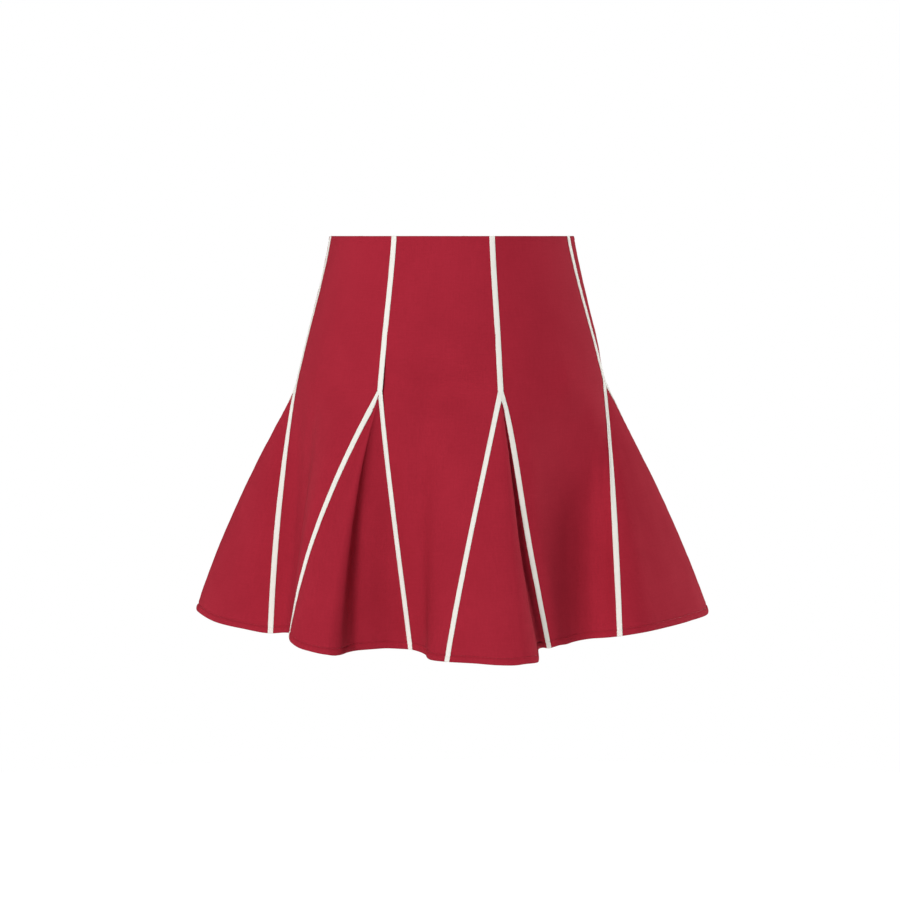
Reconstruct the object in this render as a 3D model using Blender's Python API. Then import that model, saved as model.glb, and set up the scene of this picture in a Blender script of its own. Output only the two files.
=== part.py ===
"""Mini skirt of seven gores, with a godet let into each seam and tape over the seams.

The skirt keeps its worn shape and is hollow. The origin is the centre of the waist
opening, +Z is up and the front faces -Y. Lengths in the tables are millimetres. `ahead`
is measured towards the front and `drop` is measured down from the waist. Left and right
are as seen from the front.
"""
import math

import bmesh
import bpy
from mathutils import Vector

MM = 0.001

CLOTH = 1.4 * MM            # wall of cotton twill with its turned and pressed seams
TAPE = 1.0 * MM             # twill tape with its stitching
TAPE_WIDTH = 5.4 * MM
TAPE_COLUMNS = (-0.5, -0.25, 0.0, 0.25, 0.5)
SEAM_GAP = 0.3 * MM
LAY_GAP = 0.6 * MM          # between a panel and what lies on it
FACING_REACH = 1.5 * MM     # how far to each side the cloth's direction is taken
MITRE_GAP = 0.4 * MM        # between the two tapes that meet at a godet's point
MITRE_TIP = 1.0 * MM        # width of a leg tape where its mitre starts

# Waist and hip: rings of the body, the first and last only steer the curve.
# drop, half width, depth ahead, depth behind
BODY = [
    (-25.0, 119.0, 89.5, 84.0),
    (0.0, 121.5, 91.0, 87.0),
    (38.0, 129.0, 95.0, 95.0),
    (68.0, 136.5, 98.5, 103.0),
    (98.0, 144.0, 102.5, 111.0),
    (128.0, 151.0, 106.0, 118.0),
    (158.0, 157.5, 109.0, 124.0),
    (190.0, 163.0, 111.5, 129.0),
]

# Seams, going round from the front left one by the right side. Each leg of a godet hangs
# in a shallow bow: how far it stands to the side and ahead of a straight line half way down.
# name, bearing at the waist, bearing at the godet's point, drop of that point,
# left leg to the side, left leg ahead, right leg to the side, right leg ahead
SEAMS = [
    ("front_left", -23.0, -22.5, 150.5, -13.0, 2.0, 0.0, 2.0),
    ("front_right", 23.0, 21.6, 150.0, -2.0, 3.0, -0.3, 2.0),
    ("side_right", 74.5, 81.0, 141.0, 2.0, 3.0, 8.0, -3.0),
    ("back_right", 127.0, 128.0, 149.0, 4.0, -2.0, 2.0, -4.0),
    ("back", 180.0, 180.0, 152.0, 2.0, -3.0, -2.0, -4.0),
    ("back_left", 233.0, 232.0, 149.0, -2.0, -3.0, -4.0, -2.0),
    ("side_left", 285.0, 281.0, 147.5, -12.0, -3.0, -4.0, 3.0),
]

# Hem, going round the same way: seams, crests and valleys of the folds. The first row of
# each piece is the seam at its left edge, seen from outside.
# side, ahead, drop
HEM = {
    "gore_front": [(-29, 109, 401), (-15, 130, 403), (-5, 150, 405)],
    "godet_front_right": [(12, 162, 405), (39, 170, 405), (62, 173, 406),
                          (79, 171, 406), (88, 168, 405), (94, 163, 405),
                          (98, 156, 405), (98, 147, 404), (97, 137, 402),
                          (96, 127, 400), (96, 120, 398), (98, 115, 397),
                          (101, 112, 397)],
    "gore_front_right": [(105, 109, 398), (110, 106, 397), (115, 101, 396), (121, 93, 396),
                         (127, 84, 395), (135, 76, 394), (145, 71, 393), (157, 72, 392)],
    "godet_side_right": [(173, 81, 389), (193, 78, 386), (217, 57, 383),
                         (240, 27, 380), (257, -12, 377), (251, -40, 374)],
    "gore_side_right": [(231, -60, 378), (200, -78, 389)],
    "godet_back_right": [(176, -98, 393), (183, -127, 390), (173, -160, 386),
                         (147, -183, 382), (114, -185, 383)],
    "gore_back_right": [(88, -168, 388), (64, -160, 394)],
    "godet_back": [(38, -170, 393), (31, -197, 389), (9, -215, 386),
                   (-20, -214, 387), (-44, -196, 391)],
    "gore_back_left": [(-57, -169, 393), (-78, -155, 394)],
    "godet_back_left": [(-103, -152, 390), (-121, -171, 385), (-149, -176, 384),
                        (-175, -158, 386), (-181, -127, 391)],
    "gore_side_left": [(-173, -98, 394), (-187, -68, 391)],
    "godet_side_left": [(-208, -42, 385), (-233, -26, 380), (-249, 4, 376),
                        (-251, 47, 373), (-227, 80, 380), (-196, 99, 384)],
    "gore_front_left": [(-168, 101, 388), (-155, 102, 387), (-146, 112, 386),
                        (-141, 128, 386)],
    "godet_front_left": [(-142, 146, 386), (-139, 161, 388), (-130, 171, 392),
                         (-117, 176, 395), (-107, 177, 397), (-101, 176, 398),
                         (-96, 173, 399), (-91, 168, 399), (-88, 160, 399),
                         (-86, 151, 399), (-82, 143, 399), (-77, 135, 399),
                         (-71, 129, 399), (-64, 124, 399), (-52, 117, 399),
                         (-40, 112, 400)],
}
PIECES = list(HEM)

# Legs that step aside a fifth of the way down, by their station: millimetres to the side
LEG_STEPS = {2: 3.0}
STEP_SCALE = 12.2           # brings the highest down * (1 - down) ** 4 to 1

# How the cloth of a panel stands off a straight fall, half way from the godets' points to
# the hem. The first and last rows only steer the curve.
# share across from the left, to the side, ahead
SWAGS = {
    "gore_front_left": [(-0.1, -4, 4), (0, 0, 0), (0.1, 4, -4), (0.2, 9, -6), (0.35, 10, -4),
                        (0.5, 6, -1), (0.65, 1, 2), (0.8, -2, 4), (0.9, -1, 3), (1, 0, 0),
                        (1.1, 1, -3)],
    "godet_front_left": [(-0.05, -3, 1), (0, 0, 0), (0.04, 2, -1), (0.08, 4, -2),
                         (0.15, 5, -4), (0.22, 4, -4), (0.3, 2, -3), (0.4, 0, 0), (1, 0, 0),
                         (1.1, 0, 0)],
    "gore_front_right": [(-0.1, 0, 1), (0, 0, 0), (0.1, 0, -1), (0.25, -1, -9),
                         (0.4, -1, -16), (0.6, -1, -17), (0.8, 0, -8), (1, 0, 0),
                         (1.1, 0, 0)],
    "godet_front_right": [(-0.1, 0, 0), (0, 0, 0), (0.5, 0, 0), (0.7, -2, 0), (0.8, -3, 0),
                          (0.9, -3, 0), (0.95, -2, 0), (1, 0, 0), (1.05, 2, 0)],
}

FOLD_ONSET = 0.06           # share of the way down by which a fold is half grown
GORE_CARRY = 0.7            # how far a gore keeps the slope of the hip as it leaves it
LEG_CARRY = 0.12            # the same at a godet's leg
GODET_TIP = 1.03            # level where a godet's own cloth starts, just below its point
EDGE_COLUMN = 0.025         # share of a panel's first column, beside its seam
UPPER_ROWS = 6
LOWER_LEVELS = [GODET_TIP, 1.05, 1.08, 1.12, 1.18, 1.26, 1.36, 1.48, 1.6, 1.73, 1.87, 2.0]
GORE_COLUMNS = 5
GODET_COLUMNS = 14

# Zip at the centre back, in its own frame: X across, Y outwards, Z up the seam.
ZIP_SEAM = 4                # its row in SEAMS
ZIP_TAPE_WIDTH = 20.0 * MM
ZIP_TAPE = 0.9 * MM
ZIP_TAPE_TOP = 0.04         # levels where the tape inside starts and ends
ZIP_TAPE_END = 0.9
ZIP_LAP = 5.1 * MM          # the seam's tape lies this far to one side of the zip
ZIP_LAP_END = (0.8, 1.0)    # levels between which that tape comes back over the seam
SLIDER_DROP = 7.0 * MM
SLIDER = Vector((3.8, 1.8, 9.0)) * MM
BRIDGE = Vector((1.2, 3.0, 4.6)) * MM
BRIDGE_WINDOW = Vector((3.0, 1.7, 2.2)) * MM
PULL = Vector((4.0, 0.9, 17.0)) * MM
PULL_HOLE = Vector((2.2, 3.0, 3.4)) * MM
PULL_BAR = 1.0 * MM
PULL_BEVEL = 0.35 * MM

RED = (0.36, 0.018, 0.036, 1.0)
IVORY = (0.84, 0.83, 0.78, 1.0)
LACQUER = (0.28, 0.012, 0.028, 1.0)


def clear_scene():
    for item in list(bpy.data.objects):
        bpy.data.objects.remove(item)


def material(name, colour, roughness, metallic=0.0):
    made = bpy.data.materials.new(name)
    made.use_nodes = True
    shader = made.node_tree.nodes["Principled BSDF"]
    shader.inputs["Base Color"].default_value = colour
    shader.inputs["Roughness"].default_value = roughness
    shader.inputs["Metallic"].default_value = metallic
    made.diffuse_color = colour
    return made


def curve(points, knots, where):
    """Smooth curve through points[1:-1]; the first and last only steer it."""
    after = 2
    while after < len(knots) - 2 and knots[after] < where:
        after += 1
    slopes = []
    for row in (after - 1, after):
        back = knots[row] - knots[row - 1]
        on = knots[row + 1] - knots[row]
        into = (points[row] - points[row - 1]) / back
        out = (points[row + 1] - points[row]) / on
        slopes.append((into * on + out * back) / (back + on))
    span = knots[after] - knots[after - 1]
    part = (where - knots[after - 1]) / span
    rest = 1 - part
    return (points[after - 1] * rest * rest * (1 + 2 * part)
            + slopes[0] * span * part * rest * rest
            + points[after] * part * part * (3 - 2 * part)
            - slopes[1] * span * part * part * rest)


BODY_DROPS = [row[0] for row in BODY]
BODY_SIZES = [Vector(row[1:]) for row in BODY]


def body(bearing, drop):
    """Point of the body at a bearing in degrees from the front, in millimetres."""
    half_width, ahead, behind = curve(BODY_SIZES, BODY_DROPS, drop)
    angle = math.radians(bearing)
    depth = ahead if math.cos(angle) > 0 else behind
    return Vector((half_width * math.sin(angle), -depth * math.cos(angle), -drop))


def hem_curves():
    """For each piece, the hem points over it with one more at each end, and their knots."""
    loop = [Vector((side, -ahead, -drop)) for rows in HEM.values() for side, ahead, drop in rows]
    curves = []
    first = 0
    for rows in HEM.values():
        span = range(first - 1, first + len(rows) + 2)
        points = [loop[index % len(loop)] for index in span]
        knots = [-(points[1] - points[0]).length, 0.0]
        for before, point in zip(points[1:], points[2:]):
            knots.append(knots[-1] + (point - before).length)
        curves.append((points, knots))
        first += len(rows)
    return curves


HEM_CURVES = hem_curves()


def hem(piece, share):
    points, knots = HEM_CURVES[piece]
    return curve(points, knots, share * knots[-2])


def leg_bow(station):
    """Bow of the leg between two pieces: even stations are right legs, odd ones left legs."""
    seam = SEAMS[(station + 1) // 2 % len(SEAMS)]
    side, ahead = seam[6:8] if station % 2 == 0 else seam[4:6]
    return Vector((side, -ahead, 0.0))


def swag(piece, share):
    """How far the cloth stands off its straight fall, half way down the leg."""
    bow = leg_bow(piece).lerp(leg_bow(piece + 1), share)
    rows = SWAGS.get(PIECES[piece])
    if rows:
        offsets = [Vector((side, -ahead, 0.0)) for place, side, ahead in rows]
        bow += curve(offsets, [row[0] for row in rows], share)
    return bow


def seam_bearing(index, level):
    turns, row = divmod(index, len(SEAMS))
    waist, hip = SEAMS[row][1:3]
    return waist + (hip - waist) * min(level, 1.0) + 360.0 * turns


def cloth(station, level):
    """Middle of the cloth. Stations count the pieces round the skirt, gores and godets by
    turns, and level is 0 at the waist, 1 at the points of the godets and 2 at the hem."""
    piece = math.floor(station) % len(PIECES)
    share = station - math.floor(station)
    is_gore = piece % 2 == 0
    left = (piece + 1) // 2
    right = left + 1 if is_gore else left
    bearing_left = seam_bearing(left, level)
    bearing_right = seam_bearing(right, level)
    bearing = bearing_left + (bearing_right - bearing_left) * share
    drop_left = SEAMS[left % len(SEAMS)][3]
    drop_right = SEAMS[right % len(SEAMS)][3]
    hip_drop = drop_left + (drop_right - drop_left) * share
    if level <= 1:
        return body(bearing, hip_drop * level) * MM

    down = level - 1
    start = body(bearing, hip_drop)
    chord = hem(piece, 0.0).lerp(hem(piece, 1.0), share)
    fold = hem(piece, share) - chord
    grown = down * down * (1 + FOLD_ONSET) / (down + FOLD_ONSET)
    point = start + (chord - start) * down + fold * grown

    middle_carry = GORE_CARRY if is_gore else 0.0
    carry = LEG_CARRY + (middle_carry - LEG_CARRY) * math.sin(math.pi * share) ** 2
    run = chord + fold - start
    hip_slope = (start - body(bearing, hip_drop - 5.0)).normalized() * run.length
    point += (hip_slope - run) * carry * down * (1 - down) ** 2
    point += swag(piece, share) * 4 * down * (1 - down)
    steps = [LEG_STEPS.get(leg % len(PIECES), 0.0) for leg in (piece, piece + 1)]
    step = steps[0] + (steps[1] - steps[0]) * share
    point.x += step * STEP_SCALE * down * (1 - down) ** 4
    return point * MM


def facing(station, level):
    """Outward direction of the cloth, shared by both panels at a seam."""
    across = (cloth(along(station, level, FACING_REACH), level)
              - cloth(along(station, level, -FACING_REACH), level))
    step = 0.01
    down = cloth(station, min(level + step, 2.0)) - cloth(station, max(level - step, 0.0))
    return down.cross(across).normalized()


def lifted(station, level, height):
    """Point at a height above the middle of the cloth."""
    return cloth(station, level) + facing(station, level) * height


def along(station, level, distance):
    """Station at a distance from another along a row, over any seam on the way."""
    stride = math.copysign(0.01, distance)
    here = cloth(station, level)
    left = abs(distance)
    while left > 0:
        ahead = cloth(station + stride, level)
        span = (ahead - here).length
        if span >= left:
            return station + stride * left / span
        left -= span
        station += stride
        here = ahead
    return station


def wall(name, outer, inner, finish):
    """Closed wall: a sheet of rows of outer points, extruded to the inner points."""
    shape = bmesh.new()
    place = shape.verts.layers.int.new("place")
    bmesh.ops.create_grid(shape, x_segments=len(outer[0]) - 1, y_segments=len(outer) - 1, size=1)
    outer_points = [point for row in outer for point in row]
    inner_points = [point for row in inner for point in row]
    for index, (vert, point) in enumerate(zip(shape.verts, outer_points)):
        vert[place] = index
        vert.co = point
    sheet = shape.faces[:] + shape.edges[:]
    made = bmesh.ops.extrude_face_region(shape, geom=sheet, use_keep_orig=True)["geom"]
    for vert in [item for item in made if isinstance(item, bmesh.types.BMVert)]:
        vert.co = inner_points[vert[place]]
    bmesh.ops.recalc_face_normals(shape, faces=shape.faces)
    return finished(name, shape, finish)


def finished(name, shape, finish):
    mesh = bpy.data.meshes.new(name)
    shape.to_mesh(mesh)
    shape.free()
    mesh.materials.append(finish)
    mesh.shade_smooth()
    mesh.set_sharp_from_angle(angle=math.radians(40))
    made = bpy.data.objects.new(name, mesh)
    bpy.context.scene.collection.objects.link(made)
    return made


def upper_levels():
    return [row / UPPER_ROWS for row in range(UPPER_ROWS + 1)]


def panel(piece, finish):
    """A gore or a godet: columns close to its seams, then evenly spaced ones."""
    is_gore = piece % 2 == 0
    levels = upper_levels() + LOWER_LEVELS if is_gore else LOWER_LEVELS
    count = GORE_COLUMNS if is_gore else GODET_COLUMNS
    inner_span = 1 - 2 * EDGE_COLUMN
    shares = [EDGE_COLUMN + inner_span * column / count for column in range(count + 1)]
    shares = [0.0] + shares + [1.0]
    outer = []
    inner = []
    for level in levels:
        first = along(piece, level, SEAM_GAP / 2)
        last = along(piece + 1, level, -SEAM_GAP / 2)
        middle = [cloth(first + (last - first) * share, level) for share in shares]
        half_wall = [facing(piece + share, level) * CLOTH / 2 for share in shares]
        outer.append([point + half for point, half in zip(middle, half_wall)])
        inner.append([point - half for point, half in zip(middle, half_wall)])
    return wall(PIECES[piece], outer, inner, finish)


def strip(name, rows, height, thickness, finish):
    """A flat strip over or under the cloth. Each row is a level and its stations."""
    lower = [[lifted(station, level, height) for station in stations]
             for level, stations in rows]
    upper = [[lifted(station, level, height + thickness) for station in stations]
             for level, stations in rows]
    return wall(name, upper, lower, finish)


def tape_middle(seam, level):
    """Station under the middle of a long tape, which stands aside for the zip."""
    leg = 2 * seam
    if seam != ZIP_SEAM or level >= ZIP_LAP_END[1]:
        return leg
    start, end = ZIP_LAP_END
    return along(leg, level, -ZIP_LAP * min(1.0, (end - level) / (end - start)))


def tape_levels():
    return upper_levels() + LOWER_LEVELS


def long_tape(seam, finish):
    rows = []
    for level in tape_levels():
        middle = tape_middle(seam, level)
        stations = [along(middle, level, TAPE_WIDTH * share) for share in TAPE_COLUMNS]
        rows.append((level, stations))
    return strip("tape_" + SEAMS[seam][0], rows, CLOTH / 2 + LAY_GAP, TAPE, finish)


def leg_tape_row(seam, level):
    """Edges of a leg tape, cut off where the long tape beside it begins."""
    leg = 2 * seam - 1
    left = along(leg, level, -TAPE_WIDTH / 2)
    right = along(leg, level, TAPE_WIDTH / 2)
    long_edge = along(leg + 1, level, -TAPE_WIDTH / 2)
    return left, min(right, along(long_edge, level, -MITRE_GAP))


def leg_tape(seam, finish):
    start = 1.0
    while True:
        left, right = leg_tape_row(seam, start)
        width = (cloth(right, start) - cloth(left, start)).length
        if right > left and width >= MITRE_TIP:
            break
        start += 0.002
    rows = []
    for level in [start] + [level for level in LOWER_LEVELS if level > start + 0.01]:
        left, right = leg_tape_row(seam, level)
        width = (cloth(right, level) - cloth(left, level)).length
        shares = [0.5 + share for share in TAPE_COLUMNS]
        rows.append((level, [along(left, level, width * share) for share in shares]))
    name = "tape_leg_" + SEAMS[seam][0]
    return strip(name, rows, CLOTH / 2 + LAY_GAP, TAPE, finish)


def zip_tape(finish):
    leg = 2 * ZIP_SEAM
    levels = [ZIP_TAPE_TOP] + upper_levels()[1:-1] + [ZIP_TAPE_END]
    rows = []
    for level in levels:
        offsets = [ZIP_TAPE_WIDTH * share for share in (-0.5, -0.25, 0.25, 0.5)]
        stations = [along(leg, level, offset) for offset in offsets]
        rows.append((level, stations))
    return strip("zip_tape", rows, -CLOTH / 2 - LAY_GAP - ZIP_TAPE, ZIP_TAPE, finish)


def block(name, size, centre, finish, bevel=0.0):
    shape = bmesh.new()
    bmesh.ops.create_cube(shape, size=1)
    bmesh.ops.scale(shape, vec=size, verts=shape.verts)
    bmesh.ops.translate(shape, vec=centre, verts=shape.verts)
    if bevel:
        bmesh.ops.bevel(shape, geom=shape.edges[:], offset=bevel, offset_type="OFFSET",
                        segments=2, profile=0.5, affect="EDGES", material=-1)
    return finished(name, shape, finish)


def combine(target, operation, other):
    """Cuts away or joins another object, which stays as a guide."""
    step = target.modifiers.new(other.name, "BOOLEAN")
    step.operation = operation
    step.object = other
    other.hide_render = True
    other.display_type = "WIRE"


def zip_fastener(finish):
    """Slider with a bridge, and a pull that swings on the bar inside the bridge."""
    level = SLIDER_DROP / (SEAMS[ZIP_SEAM][3] * MM)
    seam = 2 * ZIP_SEAM
    base = lifted(seam, level, CLOTH / 2 + LAY_GAP)
    outwards = facing(seam, level)
    tilt = math.atan2(outwards.z, outwards.y)
    slider_top = SLIDER.y
    axis_height = slider_top + BRIDGE_WINDOW.y / 2

    holder = bpy.data.objects.new("zip_axis", None)
    bpy.context.scene.collection.objects.link(holder)
    holder.location = base + outwards * axis_height
    holder.rotation_euler = (tilt, 0.0, 0.0)

    slider = block("zip_slider", SLIDER, Vector((0, SLIDER.y / 2 - axis_height, 0)), finish,
                   PULL_BEVEL)
    sunk = 0.4 * MM
    bridge_centre = Vector((0, slider_top - sunk + BRIDGE.y / 2 - axis_height, 0))
    bridge = block("zip_bridge", BRIDGE, bridge_centre, finish)
    window = block("zip_window", BRIDGE_WINDOW, Vector((0, 0, 0)), finish)
    combine(bridge, "DIFFERENCE", window)
    combine(slider, "UNION", bridge)

    pull_centre = Vector((0, 0, PULL_BAR / 2 - PULL.z / 2))
    pull = block("zip_pull", PULL, pull_centre, finish, PULL_BEVEL)
    hole = block("zip_hole", PULL_HOLE, Vector((0, 0, -PULL_BAR / 2 - PULL_HOLE.z / 2)), finish)
    combine(pull, "DIFFERENCE", hole)
    for item in (slider, bridge, window, pull, hole):
        item.parent = holder


def build():
    clear_scene()
    red = material("red_twill", RED, 0.85)
    ivory = material("ivory_tape", IVORY, 0.8)
    lacquer = material("red_lacquer", LACQUER, 0.35, 0.3)
    for piece in range(len(PIECES)):
        panel(piece, red)
    for seam in range(len(SEAMS)):
        long_tape(seam, ivory)
        leg_tape(seam, ivory)
    zip_tape(red)
    zip_fastener(lacquer)


build()
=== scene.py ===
"""Looks of the gored mini skirt: crimson twill, godets and off-white tape over the seams.

Lengths in the tables are millimetres. `ahead` is measured towards the front and `drop` is
measured down from the waist. Left and right are as seen from the front, which faces -Y.
"""
import math

import bmesh
import bpy
from mathutils import Matrix, Vector, noise


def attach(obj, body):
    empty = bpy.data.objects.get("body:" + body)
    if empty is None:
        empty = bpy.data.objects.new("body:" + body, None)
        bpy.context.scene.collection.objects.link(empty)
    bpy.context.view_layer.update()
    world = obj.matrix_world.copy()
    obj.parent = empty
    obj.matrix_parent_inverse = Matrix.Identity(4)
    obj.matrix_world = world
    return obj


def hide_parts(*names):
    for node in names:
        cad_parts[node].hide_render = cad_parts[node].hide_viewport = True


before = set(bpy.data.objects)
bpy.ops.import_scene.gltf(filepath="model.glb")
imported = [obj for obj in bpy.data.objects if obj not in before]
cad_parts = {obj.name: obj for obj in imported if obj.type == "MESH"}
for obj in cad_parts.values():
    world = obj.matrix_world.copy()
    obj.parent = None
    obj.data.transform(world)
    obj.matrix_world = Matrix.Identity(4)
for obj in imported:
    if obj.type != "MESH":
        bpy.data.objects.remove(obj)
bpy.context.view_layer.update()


# ---- Camera ---------------------------------------------------------------------------
# The photograph's view: level with the waist, a little to the right of the front, and
# far enough off that the skirt looks almost flat. It looks down towards the hem.
CAMERA_DISTANCE = 3.0
CAMERA_BEARING = math.radians(5.6)
AIM_ASIDE = -0.0015
AIM_HEIGHT = -0.214
SEEN_WIDTH = 0.9            # metres across the picture, at the skirt's axis

camera_data = bpy.data.cameras.new("camera")
camera_data.sensor_width = 36.0
camera_data.lens = camera_data.sensor_width * CAMERA_DISTANCE / SEEN_WIDTH
camera = bpy.data.objects.new("camera", camera_data)
bpy.context.scene.collection.objects.link(camera)
camera_right = Vector((math.cos(CAMERA_BEARING), math.sin(CAMERA_BEARING), 0.0))
camera_back = Vector((math.sin(CAMERA_BEARING), -math.cos(CAMERA_BEARING), 0.0))
camera.location = camera_back * CAMERA_DISTANCE
aim = camera_right * AIM_ASIDE + Vector((0.0, 0.0, AIM_HEIGHT))
camera.rotation_euler = (aim - camera.location).to_track_quat("-Z", "Y").to_euler()
bpy.context.scene.camera = camera


# ---- Gores ----------------------------------------------------------------------------
# Seven panels of crimson cotton twill, waist to hem, sewn to each other above the hip and
# to the godets below it. The waist edge is turned in and understitched, and the hem is
# turned up. Each hangs from the hip in its own shallow folds.
MM = 0.001
CLOTH = 1.2 * MM
SEAM_GAP = 0.2 * MM

# Waist and hip: rings of the body, the first and last only steer the curve.
# drop, half width, depth ahead, depth behind
BODY = [
    (-25.0, 119.0, 89.5, 84.0),
    (0.0, 121.5, 91.0, 87.0),
    (38.0, 129.0, 95.0, 95.0),
    (68.0, 136.5, 98.5, 103.0),
    (98.0, 144.0, 102.5, 111.0),
    (128.0, 151.0, 106.0, 118.0),
    (158.0, 157.5, 109.0, 124.0),
    (190.0, 163.0, 111.5, 129.0),
]

# Seams, going round from the front left one by the right side.
# name, bearing at the waist, bearing at the godet's point, drop of that point, and how far
# each leg of the godet bows: left leg to the side and ahead, right leg to the side and ahead
SEAMS = [
    ("front_left", -23.0, -22.5, 150.5, -13.0, 2.0, 0.0, 2.0),
    ("front_right", 23.0, 21.6, 150.0, -2.0, 3.0, -0.3, 2.0),
    ("side_right", 74.5, 81.0, 141.0, 2.0, 3.0, 8.0, -3.0),
    ("back_right", 127.0, 128.0, 149.0, 4.0, -2.0, 2.0, -4.0),
    ("back", 180.0, 180.0, 152.0, 2.0, -3.0, -2.0, -4.0),
    ("back_left", 233.0, 232.0, 149.0, -2.0, -3.0, -4.0, -2.0),
    ("side_left", 285.0, 281.0, 147.5, -12.0, -3.0, -4.0, 3.0),
]

# Hem, going round the same way: seams, crests and valleys of the folds.
# side, ahead, drop
HEM = {
    "gore_front": [(-29, 109, 401), (-15, 130, 403), (-5, 150, 405)],
    "godet_front_right": [(12, 162, 405), (39, 170, 405), (62, 173, 406),
                          (79, 171, 406), (88, 168, 405), (94, 163, 405),
                          (98, 156, 405), (98, 147, 404), (97, 137, 402),
                          (96, 127, 400), (96, 120, 398), (98, 115, 397),
                          (101, 112, 397)],
    "gore_front_right": [(105, 109, 398), (110, 106, 397), (115, 101, 396), (121, 93, 396),
                         (127, 84, 395), (135, 76, 394), (145, 71, 393), (157, 72, 392)],
    "godet_side_right": [(173, 81, 389), (193, 78, 386), (217, 57, 383),
                         (240, 27, 380), (257, -12, 377), (251, -40, 374)],
    "gore_side_right": [(231, -60, 378), (200, -78, 389)],
    "godet_back_right": [(176, -98, 393), (183, -127, 390), (173, -160, 386),
                         (147, -183, 382), (114, -185, 383)],
    "gore_back_right": [(88, -168, 388), (64, -160, 394)],
    "godet_back": [(38, -170, 393), (31, -197, 389), (9, -215, 386),
                   (-20, -214, 387), (-44, -196, 391)],
    "gore_back_left": [(-57, -169, 393), (-78, -155, 394)],
    "godet_back_left": [(-103, -152, 390), (-121, -171, 385), (-149, -176, 384),
                        (-175, -158, 386), (-181, -127, 391)],
    "gore_side_left": [(-173, -98, 394), (-187, -68, 391)],
    "godet_side_left": [(-208, -42, 385), (-233, -26, 380), (-249, 4, 376),
                        (-251, 47, 373), (-227, 80, 380), (-196, 99, 384)],
    "gore_front_left": [(-168, 101, 388), (-155, 102, 387), (-146, 112, 386),
                        (-141, 128, 386)],
    "godet_front_left": [(-142, 146, 386), (-139, 161, 388), (-130, 171, 392),
                         (-117, 176, 395), (-107, 177, 397), (-101, 176, 398),
                         (-96, 173, 399), (-91, 168, 399), (-88, 160, 399),
                         (-86, 151, 399), (-82, 143, 399), (-77, 135, 399),
                         (-71, 129, 399), (-64, 124, 399), (-52, 117, 399),
                         (-40, 112, 400)],
}
PIECES = list(HEM)

# Legs that step aside a fifth of the way down, by their station: millimetres to the side
LEG_STEPS = {2: 3.0}
STEP_SCALE = 12.2           # brings the highest down * (1 - down) ** 4 to 1

# How the cloth of a panel stands off a straight fall, half way from the godets' points to
# the hem. The first and last rows only steer the curve.
# share across from the left, to the side, ahead
SWAGS = {
    "gore_front_left": [(-0.1, -4, 4), (0, 0, 0), (0.1, 4, -4), (0.2, 9, -6), (0.35, 10, -4),
                        (0.5, 6, -1), (0.65, 1, 2), (0.8, -2, 4), (0.9, -1, 3), (1, 0, 0),
                        (1.1, 1, -3)],
    "godet_front_left": [(-0.05, -3, 1), (0, 0, 0), (0.04, 2, -1), (0.08, 4, -2),
                         (0.15, 5, -4), (0.22, 4, -4), (0.3, 2, -3), (0.4, 0, 0), (1, 0, 0),
                         (1.1, 0, 0)],
    "gore_front_right": [(-0.1, 0, 1), (0, 0, 0), (0.1, 0, -1), (0.25, -1, -9),
                         (0.4, -1, -16), (0.6, -1, -17), (0.8, 0, -8), (1, 0, 0),
                         (1.1, 0, 0)],
    "godet_front_right": [(-0.1, 0, 0), (0, 0, 0), (0.5, 0, 0), (0.7, -2, 0), (0.8, -3, 0),
                          (0.9, -3, 0), (0.95, -2, 0), (1, 0, 0), (1.05, 2, 0)],
}
FOLD_ONSET = 0.06           # share of the way down by which a fold is half grown
GORE_CARRY = 0.7            # how far a gore keeps the slope of the hip as it leaves it
LEG_CARRY = 0.12            # the same at a godet's leg
HIP_SPAN = 5.0              # millimetres of fall over which the slope of the hip is taken


def curve(points, knots, where):
    """Smooth curve through points[1:-1]; the first and last only steer it."""
    after = 2
    while after < len(knots) - 2 and knots[after] < where:
        after += 1
    slopes = []
    for row in (after - 1, after):
        back = knots[row] - knots[row - 1]
        on = knots[row + 1] - knots[row]
        into = (points[row] - points[row - 1]) / back
        out = (points[row + 1] - points[row]) / on
        slopes.append((into * on + out * back) / (back + on))
    span = knots[after] - knots[after - 1]
    part = (where - knots[after - 1]) / span
    rest = 1 - part
    return (points[after - 1] * rest * rest * (1 + 2 * part)
            + slopes[0] * span * part * rest * rest
            + points[after] * part * part * (3 - 2 * part)
            - slopes[1] * span * part * part * rest)


BODY_DROPS = [row[0] for row in BODY]
BODY_SIZES = [Vector(row[1:]) for row in BODY]


def body(bearing, drop):
    """Point of the body at a bearing in degrees from the front, in millimetres."""
    half_width, ahead, behind = curve(BODY_SIZES, BODY_DROPS, drop)
    angle = math.radians(bearing)
    depth = ahead if math.cos(angle) > 0 else behind
    return Vector((half_width * math.sin(angle), -depth * math.cos(angle), -drop))


def hem_curves():
    """For each piece, the hem points over it with one more at each end, and their knots."""
    loop = [Vector((side, -ahead, -drop)) for rows in HEM.values() for side, ahead, drop in rows]
    curves = []
    first = 0
    for rows in HEM.values():
        points = [loop[index % len(loop)] for index in range(first - 1, first + len(rows) + 2)]
        knots = [-(points[1] - points[0]).length, 0.0]
        for before, point in zip(points[1:], points[2:]):
            knots.append(knots[-1] + (point - before).length)
        curves.append((points, knots))
        first += len(rows)
    return curves


HEM_CURVES = hem_curves()


def hem(piece, share):
    points, knots = HEM_CURVES[piece]
    return curve(points, knots, share * knots[-2])


def leg_bow(station):
    """Bow of the leg between two pieces: even stations are right legs, odd ones left legs."""
    seam = SEAMS[(station + 1) // 2 % len(SEAMS)]
    side, ahead = seam[6:8] if station % 2 == 0 else seam[4:6]
    return Vector((side, -ahead, 0.0))


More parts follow.
